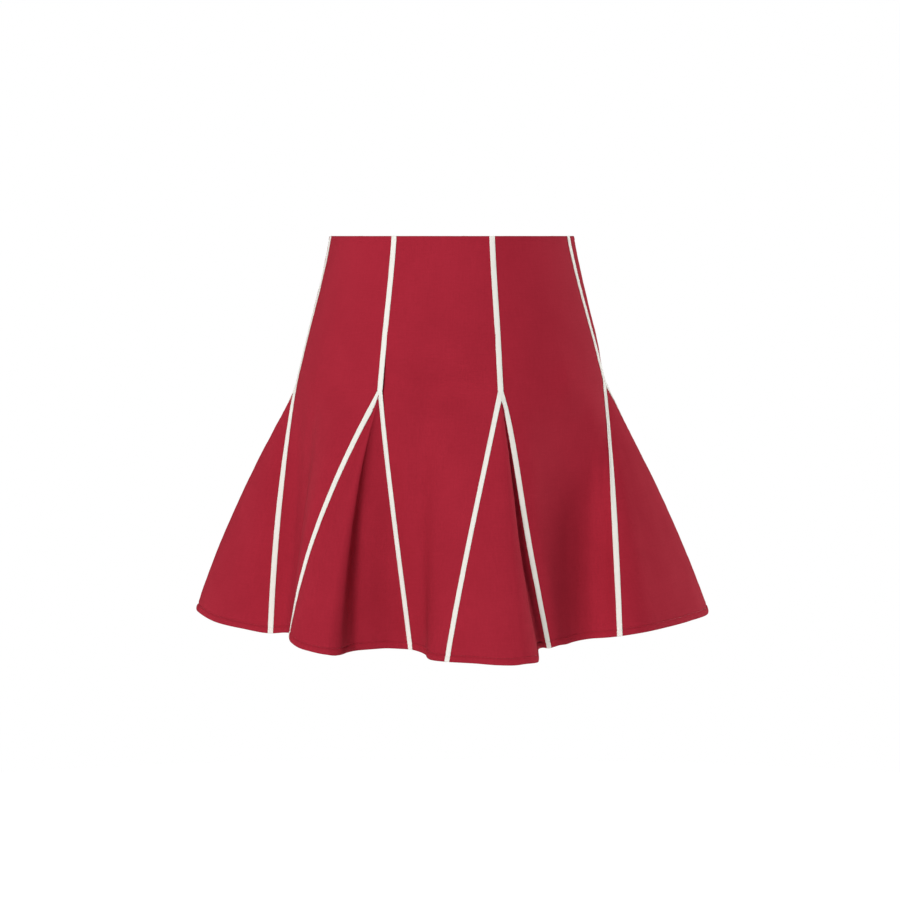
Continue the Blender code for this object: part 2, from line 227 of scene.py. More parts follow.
def swag(piece, share):
    """How far the cloth stands off its straight fall, half way down the leg."""
    bow = leg_bow(piece).lerp(leg_bow(piece + 1), share)
    rows = SWAGS.get(PIECES[piece])
    if rows:
        offsets = [Vector((side, -ahead, 0.0)) for place, side, ahead in rows]
        bow += curve(offsets, [row[0] for row in rows], share)
    return bow


def seam_bearing(index, level):
    turns, row = divmod(index, len(SEAMS))
    waist, hip = SEAMS[row][1:3]
    return waist + (hip - waist) * min(level, 1.0) + 360.0 * turns


def cloth(station, level):
    """Middle of the cloth. Stations count the pieces round the skirt, gores and godets by
    turns, and level is 0 at the waist, 1 at the points of the godets and 2 at the hem."""
    piece = math.floor(station) % len(PIECES)
    share = station - math.floor(station)
    is_gore = piece % 2 == 0
    left = (piece + 1) // 2
    right = left + 1 if is_gore else left
    bearing_left = seam_bearing(left, level)
    bearing_right = seam_bearing(right, level)
    bearing = bearing_left + (bearing_right - bearing_left) * share
    drop_left = SEAMS[left % len(SEAMS)][3]
    drop_right = SEAMS[right % len(SEAMS)][3]
    hip_drop = drop_left + (drop_right - drop_left) * share
    if level <= 1:
        return body(bearing, hip_drop * level) * MM

    down = level - 1
    start = body(bearing, hip_drop)
    chord = hem(piece, 0.0).lerp(hem(piece, 1.0), share)
    fold = hem(piece, share) - chord
    grown = down * down * (1 + FOLD_ONSET) / (down + FOLD_ONSET)
    point = start + (chord - start) * down + fold * grown

    middle_carry = GORE_CARRY if is_gore else 0.0
    carry = LEG_CARRY + (middle_carry - LEG_CARRY) * math.sin(math.pi * share) ** 2
    run = chord + fold - start
    hip_slope = (start - body(bearing, hip_drop - HIP_SPAN)).normalized() * run.length
    point += (hip_slope - run) * carry * down * (1 - down) ** 2
    point += swag(piece, share) * 4 * down * (1 - down)
    steps = [LEG_STEPS.get(leg % len(PIECES), 0.0) for leg in (piece, piece + 1)]
    step = steps[0] + (steps[1] - steps[0]) * share
    point.x += step * STEP_SCALE * down * (1 - down) ** 4
    return point * MM


STRIDE = 0.01               # of a station, in which distances along a row are stepped off


def along(station, level, distance):
    """Station at a distance from another along a row, over any seam on the way."""
    stride = math.copysign(STRIDE, distance)
    here = cloth(station, level)
    left = abs(distance)
    while left > 0:
        ahead = cloth(station + stride, level)
        span = (ahead - here).length
        if span >= left:
            return station + stride * left / span
        left -= span
        station += stride
        here = ahead
    return station


# The edges: a line of stitching sinks into the cloth, and the fold beyond it puffs out.
HEM_STITCH = 6.5            # from the hem's edge
WAIST_STITCH = 5.0          # from the waist's edge
GROOVE_WIDTH = 0.8
HEM_GROOVE = 0.7
WAIST_GROOVE = 0.22
EDGE_PUFF = 0.7             # height of the puff, as a share of the groove's depth
EDGE_ROUND = 0.45
EDGE_ROUND_WIDTH = 0.6
ROPING = 0.16               # slanting ripples in the hem, which is turned on a curve
ROPING_PITCH = 8.5
ROPING_SLANT = 0.7
ROPING_WANDER = 0.35        # how far the ripples stray, in pitches
ROPING_WANDER_SIZE = 21.0

# The seams: tape stitched over them puckers the cloth beside it.
PUCKER_PITCH = 9.5
PUCKER_START = 2.4          # from the seam, under the tape's edge
PUCKER_RISE = 2.0           # from there to where they are full
PUCKER_REACH = 7.0
PUCKER = 0.2
PUCKER_STRONG = {2: 0.3, 3: 0.12, 12: 0.12}     # how much higher, by the seam's station
PUCKER_WANDER = 0.9         # how far they stray, in pitches, and how uneven their height is
PUCKER_WANDER_SIZE = 23.0
PUCKER_PATCH_SIZE = 41.0

# Slack in the cloth: size of the swell across, how many times longer it is down the cloth,
# and its height
SLACK = [(38.0, 2.2, 0.5), (13.0, 1.6, 0.17), (21.0, 0.4, 0.2)]

# Creases, given one by one. Those that run down a panel have places as shares across it, from its
# left seam, and those that run across it have places in millimetres down it.
# way, from, to, place at the start, half way and at the end, width, height
CREASES = {
    "gore_front": [("across", -0.1, 1.1, 138, 150, 140, 22.0, -9.0),
                   ("across", -0.1, 1.1, 94, 106, 96, 20.0, 2.0),
                   ("down", 135, 445, 0.42, 0.33, 0.34, 12.0, -6.0)],
    "gore_front_right": [("across", 0.0, 0.5, 142, 144, 140, 18.0, -3.0),
                         ("across", 0.0, 0.7, 176, 186, 182, 16.0, -1.8),
                         ("across", 0.0, 0.6, 222, 214, 224, 14.0, -1.4),
                         ("down", 150, 330, 0.35, 0.4, 0.42, 22.0, -2.0)],
    "godet_front_left": [("down", 20, 290, 0.64, 0.64, 0.64, 10.5, -3.8),
                         ("down", 30, 290, 0.44, 0.4, 0.4, 11.0, 1.6)],
    "godet_front_right": [("down", 5, 275, 0.97, 0.965, 0.955, 7.0, -2.5)],
    "gore_front_left": [("across", 0.4, 1.0, 150, 160, 168, 20.0, -2.0),
                        ("down", 145, 360, 0.42, 0.46, 0.46, 10.0, -3.0)],
    "gore_side_left": [("across", 0.0, 1.0, 135, 142, 132, 22.0, -3.0)],
    "gore_side_right": [("across", 0.0, 1.0, 132, 142, 135, 22.0, -3.0)],
    "gore_back_left": [("across", 0.0, 1.0, 130, 146, 138, 24.0, -4.0)],
    "gore_back_right": [("across", 0.0, 1.0, 138, 146, 130, 24.0, -4.0)],
}


def edge_height(distance, stitch, groove):
    """Height of a turned and stitched edge, at a distance from it in millimetres."""
    sunk = -groove * math.exp(-((distance - stitch) / GROOVE_WIDTH) ** 2)
    puff = groove * EDGE_PUFF * math.sin(math.pi * min(distance / stitch, 1.0))
    rounded = -EDGE_ROUND * math.exp(-distance / EDGE_ROUND_WIDTH)
    return sunk + puff + rounded


def roping(across, distance):
    """Ripples of the hem, at a distance from its edge in millimetres."""
    if distance > 2 * HEM_STITCH:
        return 0.0
    fade = math.sin(math.pi * min(distance / (2 * HEM_STITCH), 1.0))
    turn = (across + ROPING_SLANT * distance) / ROPING_PITCH
    stray = noise.noise(Vector((across / ROPING_WANDER_SIZE, 3.1, 0.0)))
    turn += ROPING_WANDER * stray
    return ROPING * fade * math.sin(2 * math.pi * turn)


def pucker(leg, fall, distance):
    """Ripples beside the tape on a leg, at a distance from its seam."""
    if distance > 4 * PUCKER_REACH or distance < PUCKER_START:
        return 0.0
    rise = min((distance - PUCKER_START) / PUCKER_RISE, 1.0)
    fade = rise * rise * (3 - 2 * rise) * math.exp(-(distance - PUCKER_START) / PUCKER_REACH)
    wander = noise.noise(Vector((fall / PUCKER_WANDER_SIZE, leg * 7.3, 0.5)))
    patch = noise.noise(Vector((fall / PUCKER_PATCH_SIZE, leg * 5.9, 9.5)))
    strength = PUCKER * (1 + PUCKER_WANDER * patch)
    return (strength + PUCKER_STRONG.get(leg, 0.0)) * fade * math.sin(
        2 * math.pi * (fall / PUCKER_PITCH + PUCKER_WANDER * wander))


def slack(point):
    """Soft swells of the cloth, the same on both sides of a seam, in millimetres."""
    height = 0.0
    for size, stretch, swell in SLACK:
        where = point / MM / size
        where.z /= stretch
        height += swell * noise.noise(where)
    return height


CREASE_ONSET = 0.8          # below 1 a crease grows and fades more quickly at its ends


def crease(piece, share, fall, across_width):
    """Height of the panel's creases at a place, in millimetres."""
    height = 0.0
    for way, start, end, first, middle, last, width, rise in CREASES.get(PIECES[piece], []):
        runs_down = way == "down"
        part = ((fall if runs_down else share) - start) / (end - start)
        if not 0 < part < 1:
            continue
        place = (first * (1 - part) * (1 - 2 * part) + middle * 4 * part * (1 - part)
                 + last * part * (2 * part - 1))
        off = (share - place) * across_width if runs_down else fall - place
        grown = math.sin(math.pi * part) ** CREASE_ONSET
        height += rise * grown * math.exp(-(off / width) ** 2)
    return height


def sheet_mesh(name, rows, cut, wear, material, thickness):
    """Cloth bent from a flat grid: rows from the hem up, each from its left seam, with the
    place on the flat cut as its UV map. It thickens inwards, and more at turned edges."""
    shape = bmesh.new()
    cut_map = shape.loops.layers.uv.new("cut")
    bmesh.ops.create_grid(shape, x_segments=len(rows[0]) - 1, y_segments=len(rows) - 1, size=1)
    points = [point for row in rows for point in row]
    places = [place for row in cut for place in row]
    for vert, point in zip(shape.verts, points):
        vert.co = point
    for face in shape.faces:
        for corner in face.loops:
            corner[cut_map].uv = places[corner.vert.index]
    mesh = bpy.data.meshes.new(name)
    shape.to_mesh(mesh)
    shape.free()
    mesh.shade_smooth()
    mesh.materials.append(material)
    made = bpy.data.objects.new(name, mesh)
    bpy.context.scene.collection.objects.link(made)
    turned = made.vertex_groups.new(name="turned_edge")
    for index, worn in enumerate(value for row in wear for value in row):
        if worn:
            turned.add([index], worn, "REPLACE")
    wall = made.modifiers.new("wall", "SOLIDIFY")
    wall.thickness = thickness
    wall.offset = -1.0
    if any(value for row in wear for value in row):
        wall.thickness = thickness * 2
        wall.vertex_group = "turned_edge"
        wall.thickness_vertex_group = 0.5
    return made


def raise_rows(rows, heights):
    """Moves each point of a sheet along the sheet's own outward direction there."""
    shape = bmesh.new()
    bmesh.ops.create_grid(shape, x_segments=len(rows[0]) - 1, y_segments=len(rows) - 1, size=1)
    for vert, point in zip(shape.verts, [point for row in rows for point in row]):
        vert.co = point
    shape.normal_update()
    columns = len(rows[0])
    for vert in shape.verts:
        row, column = divmod(vert.index, columns)
        rows[row][column] = vert.co + vert.normal * heights[row][column]
    normals = [vert.normal.copy() for vert in shape.verts]
    shape.free()
    return [normals[start:start + columns] for start in range(0, len(normals), columns)]


HIP_LENGTH = 150.0          # about a level's length above the hip
LEG_LENGTH = 252.0          # and below it
HEM_ROWS = (0.0, 0.4, 1.0, 2.0, 3.2, 4.4, 5.2, 5.9, 6.5, 7.1, 7.8, 8.6, 10.0)
WAIST_ROWS = (0.0, 0.4, 1.0, 2.0, 3.2, 4.0, 4.6, 5.2, 5.9, 7.0)
UPPER_ROWS = 60
LOWER_ROWS = 96
EDGE_ROWS = 4               # even rows that the finer rows of an edge stand in for
GORE_COLUMNS = 48
TIP_WIDTH = 5.0             # a godet narrower than this lies lower, under the tapes
upper_levels = [drop / HIP_LENGTH for drop in WAIST_ROWS]
upper_levels += [row / UPPER_ROWS for row in range(EDGE_ROWS, UPPER_ROWS)]
lower_levels = [1 + row / LOWER_ROWS for row in range(1, LOWER_ROWS - EDGE_ROWS)]
lower_levels += [2 - drop / LEG_LENGTH for drop in reversed(HEM_ROWS)]
stitch_rows = {}


def panel(piece, levels, columns, material):
    """A gore or a godet, with its creases, puckers and turned edges."""
    rows = []
    for level in levels:
        first = along(piece, level, SEAM_GAP / 2)
        last = along(piece + 1, level, -SEAM_GAP / 2)
        rows.append([cloth(first + (last - first) * column / columns, level)
                     for column in range(columns + 1)])
    falls = [[0.0] * (columns + 1)]
    for above, row in zip(rows, rows[1:]):
        falls.append([fall + (point - high).length / MM
                      for fall, high, point in zip(falls[-1], above, row)])
    heights = []
    cut = []
    wear = []
    area = 0.0
    for level, row, fall in zip(levels, rows, falls):
        across = [0.0]
        for before, point in zip(row, row[1:]):
            across.append(across[-1] + (point - before).length / MM)
        width = across[-1]
        standing = min(width / TIP_WIDTH, 1.0)
        height = []
        for column, point in enumerate(row):
            share = column / columns
            from_hem = falls[-1][column] - fall[column]
            here = CLOTH / MM / 2 + slack(point)
            here += crease(piece, share, fall[column], width)
            here += pucker(piece, fall[column], across[column])
            here += pucker(piece + 1, fall[column], width - across[column])
            here += edge_height(from_hem, HEM_STITCH, HEM_GROOVE)
            here += roping(across[column], from_hem)
            if piece % 2 == 0:
                here += edge_height(fall[column], WAIST_STITCH, WAIST_GROOVE)
            height.append(here * standing * MM)
        heights.append(height)
        cut.append([((place - width / 2) * MM, -drop * MM) for place, drop in zip(across, fall)])
        from_hems = [total - drop for total, drop in zip(falls[-1], fall)]
        wear.append([1.0 if drop < HEM_STITCH + 0.5 else 0.0 for drop in from_hems])
    for (upper, lower), (high, low) in zip(zip(rows, rows[1:]), zip(cut, cut[1:])):
        middle = columns // 2
        reach = (lower[middle] - upper[middle]).length
        area += reach * (high[-1][0] - high[0][0] + low[-1][0] - low[0][0]) / 2
    for table in (rows, heights, cut, wear):
        table.reverse()
    normals = raise_rows(rows, heights)
    stitch_row = HEM_ROWS.index(HEM_STITCH)
    stitch_rows[piece] = (rows[stitch_row], normals[stitch_row])
    widest = max(row[-1][0] - row[0][0] for row in cut)
    longest = max(falls[-1]) * MM
    return sheet_mesh(PIECES[piece], rows, cut, wear, material, CLOTH)


class Value:
    """A socket in sums, so that an expression adds its Math nodes."""

    def __init__(self, finish, socket):
        self.finish = finish
        self.socket = socket

    def math(self, operation, other=0.0, swap=False):
        made = self.finish.tree.nodes.new("ShaderNodeMath")
        made.operation = operation
        first, second = (other, self) if swap else (self, other)
        self.finish.feed(made.inputs[0], first)
        self.finish.feed(made.inputs[1], second)
        return Value(self.finish, made.outputs[0])

    def __add__(self, other):
        return self.math("ADD", other)

    def __sub__(self, other):
        return self.math("SUBTRACT", other)

    def __rsub__(self, other):
        return self.math("SUBTRACT", other, swap=True)

    def __mul__(self, other):
        return self.math("MULTIPLY", other)

    __radd__ = __add__
    __rmul__ = __mul__


class Finish:
    """One procedural material: its nodes, and its shader's constant settings."""

    def __init__(self, name, constants):
        self.material = bpy.data.materials.new(name)
        self.material.use_nodes = True
        self.tree = self.material.node_tree
        self.shader = self.tree.nodes["Principled BSDF"]
        for socket, value in constants.items():
            self.shader.inputs[socket].default_value = value

    def feed(self, socket, value):
        if isinstance(value, Value):
            self.tree.links.new(value.socket, socket)
        else:
            socket.default_value = value

    def node(self, kind, settings, inputs, output=0):
        """Adds a node: its settings first, then values or links for its sockets."""
        made = self.tree.nodes.new(kind)
        for name, value in settings.items():
            setattr(made, name, value)
        for name, value in inputs.items():
            self.feed(made.inputs[name], value)
        return Value(self, made.outputs[output])

    def cut_place(self):
        """The place on the flat cut, across and up the cloth, in metres."""
        place = self.node("ShaderNodeUVMap", {"uv_map": "cut"}, {})
        parts = self.tree.nodes.new("ShaderNodeSeparateXYZ")
        self.feed(parts.inputs[0], place)
        return Value(self, parts.outputs[0]), Value(self, parts.outputs[1])

    def noise(self, across, up, detail=2.0):
        """Noise between about 0.3 and 0.7 at a place counted in its own swells."""
        where = self.node("ShaderNodeCombineXYZ", {}, {0: across, 1: up})
        return self.node("ShaderNodeTexNoise", {"noise_dimensions": "3D"},
                         {"Vector": where, "Scale": 1.0, "Detail": detail})

    def mix(self, factor, first, second):
        return self.node("ShaderNodeMix", {"data_type": "RGBA"},
                         {0: factor, 6: first, 7: second}, output=2)

    def bump(self, height, distance, strength=1.0):
        normal = self.node("ShaderNodeBump", {},
                           {"Height": height, "Distance": distance, "Strength": strength})
        self.feed(self.shader.inputs["Normal"], normal)


def twill_finish():
    """Crimson gabardine: steep fine ridges, uneven yarns both ways, cloudy dye, no shine."""
    finish = Finish("crimson_twill", {"Specular IOR Level": 0.06})
    across, up = finish.cut_place()
    steep = math.radians(63)
    ridge_pitch = 0.55 * MM
    turn = (across * math.cos(steep) + up * math.sin(steep)) * (2 * math.pi / ridge_pitch)
    ridges = turn.math("SINE")
    warp = finish.noise(across * 900, up * 60)
    weft = finish.noise(across * 60, up * 900)
    clouds = finish.noise(across * 22, up * 16, detail=4.0)
    flecks = finish.noise(across * 420, up * 420)
    uneven = warp + weft - 1.0
    tone = (0.5 + uneven * 0.55 + (clouds - 0.5) * 0.75 + (flecks - 0.5) * 0.5)
    shade = tone.math("MAXIMUM", 0.0).math("MINIMUM", 1.0)
    deep = (0.315, 0.0150, 0.030, 1.0)
    bright = (0.405, 0.0210, 0.041, 1.0)
    finish.feed(finish.shader.inputs["Base Color"], finish.mix(shade, deep, bright))
    finish.feed(finish.shader.inputs["Roughness"], 0.86 - (clouds - 0.5) * 0.12)
    finish.bump(ridges * 0.35 + uneven * 0.9 + (flecks - 0.5) * 0.5, 0.16 * MM, 0.7)
    return finish.material


crimson_twill = twill_finish()
for piece in range(0, len(PIECES), 2):
    gore = panel(piece, upper_levels + [1.0] + lower_levels, GORE_COLUMNS, crimson_twill)
    gore.name = PIECES[piece] + "_cloth"
    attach(gore, "skirt")
    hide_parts(PIECES[piece])


# ---- Godets ---------------------------------------------------------------------------
# Seven wedges of the same twill, let into the seams from the hip down. Each is cut as part
# of a circle, so it is flat at its point and its fullness drops into folds at the hem.
GODET_TIP = 1.004           # level where its own cloth starts, just below its point
GODET_COLUMNS = 76

for piece in range(1, len(PIECES), 2):
    levels = [GODET_TIP] + [level for level in lower_levels if level > GODET_TIP]
    godet = panel(piece, levels, GODET_COLUMNS, crimson_twill)
    godet.name = PIECES[piece] + "_cloth"
    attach(godet, "skirt")
    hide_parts(PIECES[piece])


# ---- Hem stitching --------------------------------------------------------------------
# One line of lockstitch in crimson thread holds the turned-up hem all the way round. Each
# stitch is a short rounded length of thread that sinks at both ends.
STITCH_PITCH = 3.0 * MM
STITCH = Vector((0.34, 0.34, 2.4)) * MM     # across, out of the cloth, and along the seam


def stitch_shape():
    """Corners and faces of one stitch, a long bead of unit radius and half length."""
    shape = bmesh.new()
    bmesh.ops.create_uvsphere(shape, u_segments=6, v_segments=5, radius=1.0)
    corners = [vert.co.copy() for vert in shape.verts]
    faces = [[vert.index for vert in face.verts] for face in shape.faces]
    shape.free()
    return corners, faces


STITCH_CORNERS, STITCH_FACES = stitch_shape()


def sew(name, path, normals, material, pitch, size, lift, sway=0.0):
    """Stitches or teeth along a path of points, joined in one mesh. Their middles stand off
    the path by the lift, and every other one sways to the other side."""
    corners = []
    faces = []
    travelled = 0.0
    due = pitch / 2
    for (start, end), normal in zip(zip(path, path[1:]), normals):
        span = (end - start).length
        onwards = (end - start) / span
        aside = normal.cross(onwards).normalized()
        outwards = onwards.cross(aside)
        turn = Matrix((aside, outwards, onwards)).transposed().to_quaternion()
        while due < travelled + span:
            centre = start.lerp(end, (due - travelled) / span) + outwards * lift + aside * sway
            place = Matrix.LocRotScale(centre, turn, size / 2)
            first = len(corners)
            corners += [place @ corner for corner in STITCH_CORNERS]
            faces += [[first + index for index in face] for face in STITCH_FACES]
            due += pitch
            sway = -sway
        travelled += span
    mesh = bpy.data.meshes.new(name)
    mesh.from_pydata(corners, [], faces)
    mesh.shade_smooth()
    mesh.materials.append(material)
    made = bpy.data.objects.new(name, mesh)
    bpy.context.scene.collection.objects.link(made)
    return made


def thread_finish(name, dark, light):
    """Spun polyester thread: slightly glossy, with its ply twisted round it."""
    finish = Finish(name, {"Specular IOR Level": 0.4})
    place = finish.node("ShaderNodeTexCoord", {}, {}, output=3)
    ply = finish.node("ShaderNodeTexNoise", {}, {"Vector": place, "Scale": 2600.0})
    finish.feed(finish.shader.inputs["Base Color"], finish.mix(ply, dark, light))
    finish.feed(finish.shader.inputs["Roughness"], 0.5 + (ply - 0.5) * 0.4)
    finish.bump(ply, 0.05 * MM, 0.6)
    return finish.material


crimson_thread = thread_finish("crimson_thread", (0.22, 0.010, 0.022, 1), (0.34, 0.016, 0.034, 1))
for piece, (path, normals) in stitch_rows.items():
    line = sew(PIECES[piece] + "_hem_stitches", path, normals, crimson_thread,
               STITCH_PITCH, STITCH, STITCH.y * 0.2)
    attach(line, "skirt")


# ---- Seam tapes -----------------------------------------------------------------------
# Flat off-white cotton tape covers every seam. One length runs from the waist down the
# seam and on down the right leg of the godet; a second, cut slanting at the godet's point,
# is tucked under it and covers the left leg. Both are cut square and tacked at the hem.
TAPE_WIDTH = 5.4 * MM
TAPE = 0.65 * MM
TAPE_RISE = 0.08            # between the cloth and the tape's underside
TAPE_PROFILE = [(-0.5, -0.20), (-0.45, -0.04), (-0.3, 0.03), (-0.12, 0.06), (0.12, 0.06),
                (0.3, 0.03), (0.45, -0.04), (0.5, -0.20)]
MITRE_LAP = 0.8 * MM        # a leg's tape tucks this far under the long one
MITRE_TIP = 0.5 * MM
TAPE_STITCH = (1, -2)       # columns of the tape that its two lines of stitching follow
TAPE_STITCH_PITCH = 2.8 * MM
TAPE_STITCH_SIZE = Vector((0.26, 0.26, 2.2)) * MM
TAPE_FOLLOW = 0.6           # share of the hem's groove and puff that shows through
TACK_STITCH = 3.4           # from the hem's edge
TACK_DEPTH = 0.25
TACK_WIDTH = 0.5
MITRE_ROWS = 500            # fine rows to a level, where a leg's tape begins
MITRE_LAST = 39             # the last of them that it can begin at
MITRE_ROWS_END = 0.02       # how far they go on, in levels
ZIP_SEAM = 4                # its row in SEAMS
ZIP_LAP = 5.1 * MM          # the seam's tape lies this far to one side of the zip
ZIP_LAP_END = (0.8, 1.0)    # levels between which that tape comes back over the seam


def tape_middle(seam, level):
    """Station under the middle of a long tape, which stands aside for the zip."""
    leg = 2 * seam
    if seam != ZIP_SEAM or level >= ZIP_LAP_END[1]:
        return leg
    start, end = ZIP_LAP_END
    return along(leg, level, -ZIP_LAP * min(1.0, (end - level) / (end - start)))


def long_tape_row(seam, level):
    middle = tape_middle(seam, level)
    return [along(middle, level, TAPE_WIDTH * share) for share, rise in TAPE_PROFILE]


def leg_tape_row(seam, level):
    """Stations across a leg tape, cut off just under the edge of the long tape."""
    leg = 2 * seam - 1
    left = along(leg, level, -TAPE_WIDTH / 2)
    right = along(leg, level, TAPE_WIDTH / 2)
    long_edge = along(leg + 1, level, -TAPE_WIDTH / 2)
    right = min(right, along(long_edge, level, MITRE_LAP))
    if right <= left:
        return None
    width = (cloth(right, level) - cloth(left, level)).length
    if width < MITRE_TIP:
        return None
    return [along(left, level, width * (0.5 + share)) for share, rise in TAPE_PROFILE]


def tape(name, levels, station_rows, material):
    """A tape over rows of stations, its edges rolled down to the cloth."""
    rows = [[cloth(station, level) for station in stations]
            for level, stations in zip(levels, station_rows)]
    falls = [0.0]
    middle = len(TAPE_PROFILE) // 2
    for above, row in zip(rows, rows[1:]):
        falls.append(falls[-1] + (row[middle] - above[middle]).length / MM)
    heights = []
    cut = []
    for level, row, fall in zip(levels, rows, falls):
        from_hem = falls[-1] - fall
        sunk = TAPE_FOLLOW * edge_height(from_hem, HEM_STITCH, HEM_GROOVE)
        sunk -= TACK_DEPTH * math.exp(-((from_hem - TACK_STITCH) / TACK_WIDTH) ** 2)
        height = []
        for (share, rise), point in zip(TAPE_PROFILE, row):
            over = CLOTH / MM / 2 + slack(point) + TAPE_RISE + TAPE / MM + rise + sunk
            height.append(over * MM)
        heights.append(height)
        cut.append([(TAPE_WIDTH * share, -fall * MM) for share, rise in TAPE_PROFILE])
    for table in (rows, heights, cut):
        table.reverse()
    normals = raise_rows(rows, heights)
    wear = [[0.0] * len(TAPE_PROFILE) for row in rows]
    made = sheet_mesh(name, rows, cut, wear, material, TAPE)
    return made, rows, normals


def tape_finish():
    """Off-white cotton tape: herringbone twill, a little uneven in its yarns."""
    finish = Finish("ivory_tape", {"Sheen Weight": 0.1, "Specular IOR Level": 0.25})
    across, up = finish.cut_place()
    band = (across * (math.pi / (TAPE_WIDTH / 2))).math("SINE").math("ABSOLUTE")
    turn = (up + band * (0.55 * MM)) * (2 * math.pi / (0.62 * MM))
    ridges = turn.math("SINE")
    yarn = finish.noise(across * 2600, up * 240)
    clouds = finish.noise(across * 90, up * 45, detail=3.0)
    shade = (0.5 + (yarn - 0.5) * 0.8 + (clouds - 0.5) * 0.9)
    shade = shade.math("MAXIMUM", 0.0).math("MINIMUM", 1.0)
    finish.feed(finish.shader.inputs["Base Color"],
                finish.mix(shade, (0.79, 0.78, 0.715, 1.0), (0.88, 0.87, 0.81, 1.0)))
    finish.feed(finish.shader.inputs["Roughness"], 0.8 + (yarn - 0.5) * 0.15)
    finish.bump(ridges * 0.5 + (yarn - 0.5), 0.1 * MM, 0.6)
    return finish.material


ivory_tape = tape_finish()
ivory_thread = thread_finish("ivory_thread", (0.66, 0.65, 0.58, 1), (0.82, 0.81, 0.74, 1))


def sewn_tape(name, node, levels, station_rows):
    """A tape with its two lines of stitching, in place of the solid node."""
    made, rows, normals = tape(name, levels, station_rows, ivory_tape)
    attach(made, "skirt")
    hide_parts(node)
    for side, column in zip(("left", "right"), TAPE_STITCH):
        path = [row[column] for row in rows]
        line = sew(name + "_stitches_" + side, path, [row[column] for row in normals],
                   ivory_thread, TAPE_STITCH_PITCH, TAPE_STITCH_SIZE, TAPE_STITCH_SIZE.y * 0.2)
        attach(line, "skirt")


for seam, (seam_name, *measures) in enumerate(SEAMS):
    levels = upper_levels + [1.0] + lower_levels
    rows = [long_tape_row(seam, level) for level in levels]
    sewn_tape("seam_tape_" + seam_name, "tape_" + seam_name, levels, rows)

    levels = [1 + row / MITRE_ROWS for row in range(1, MITRE_LAST + 1)]
    levels = [level for level in levels if leg_tape_row(seam, level)]
    start = levels[0]
    levels = [level for level in levels if level < start + MITRE_ROWS_END]
    levels += [level for level in lower_levels if level > levels[-1]]
    rows = [leg_tape_row(seam, level) for level in levels]
    sewn_tape("leg_tape_" + seam_name, "tape_leg_" + seam_name, levels, rows)


# ---- Zip ------------------------------------------------------------------------------
# A concealed zip closes the centre back seam from the waist to the hip: woven tape sewn flat
# inside with its coil of teeth towards the wearer, and a slider and pull lacquered to match
# the cloth. The pull hangs from the slider and swings.
ZIP_TAPE_HALF = 10.0 * MM
ZIP_TAPE_THICK = 0.6 * MM
ZIP_TAPE_UNDER = 0.45 * MM  # from the cloth's inner side to the tape's outer side
ZIP_TAPE_LEVELS = (0.045, 0.895)
ZIP_COLUMNS = 12            # of each half
ZIP_ROWS = 70
ZIP_TOOTH = Vector((2.6, 0.8, 0.7)) * MM
ZIP_TOOTH_PITCH = 0.66 * MM
ZIP_TOOTH_SWAY = 0.5 * MM
ZIP_TEETH_UNDER = 0.85 * MM     # from the tape's outer side to the middle of the teeth


def lacquer_finish():
    """Dark red lacquer, a little dusty, which the slider, the pull and the teeth share."""
    finish = Finish("zip_lacquer", {"Metallic": 0.2, "Coat Roughness": 0.15})
    place = finish.node("ShaderNodeTexCoord", {}, {}, output=3)
    dust = finish.node("ShaderNodeTexNoise", {}, {"Vector": place, "Scale": 900.0})
    finish.feed(finish.shader.inputs["Base Color"],
                finish.mix(dust, (0.20, 0.008, 0.018, 1), (0.30, 0.014, 0.030, 1)))
    finish.feed(finish.shader.inputs["Roughness"], 0.3 + dust * 0.15)
    finish.feed(finish.shader.inputs["Coat Weight"], 0.4 + dust * 0.3)
    return finish.material


def zip_tape_finish():
    """Woven polyester tape dyed to match, with a fine rib up its length."""
    finish = Finish("zip_weave", {"Specular IOR Level": 0.2})
    across, up = finish.cut_place()
    ribs = (across * (2 * math.pi / (0.9 * MM))).math("SINE")
    picks = (up * (2 * math.pi / (0.5 * MM))).math("SINE")
    yarn = finish.noise(across * 1400, up * 300)
    finish.feed(finish.shader.inputs["Base Color"],
                finish.mix(yarn, (0.20, 0.010, 0.020, 1.0), (0.33, 0.018, 0.034, 1.0)))
    finish.feed(finish.shader.inputs["Roughness"], 0.75 + (yarn - 0.5) * 0.2)
    finish.bump(ribs * 0.6 + picks * 0.3 + (yarn - 0.5), 0.12 * MM, 0.7)
    return finish.material


def zip_tape():
    """Both stringers of the zip, flat against the inside of the centre back."""
    leg = 2 * ZIP_SEAM
    first, last = ZIP_TAPE_LEVELS
    levels = [first + (last - first) * row / ZIP_ROWS for row in range(ZIP_ROWS + 1)]
    offsets = [ZIP_TAPE_HALF * (column / ZIP_COLUMNS - 1) for column in range(2 * ZIP_COLUMNS + 1)]
    rows = [[cloth(along(leg, level, offset) if offset else leg, level) for offset in offsets]
            for level in levels]
    depth = -(CLOTH / 2 + ZIP_TAPE_UNDER)
    heights = [[depth + slack(point) * MM for point in row] for row in rows]
    falls = [0.0]
    for above, row in zip(rows, rows[1:]):
        falls.append(falls[-1] + (row[ZIP_COLUMNS] - above[ZIP_COLUMNS]).length)
    cut = [[(offset, -fall) for offset in offsets] for fall in falls]
    wear = [[0.0] * len(offsets) for row in rows]
    for table in (rows, heights, cut):
        table.reverse()
    normals = raise_rows(rows, heights)
    made = sheet_mesh("zip_weave", rows, cut, wear, zip_tape_finish(), ZIP_TAPE_THICK)
    path = [row[ZIP_COLUMNS] for row in rows]
    return made, path, [row[ZIP_COLUMNS] for row in normals], falls[-1]


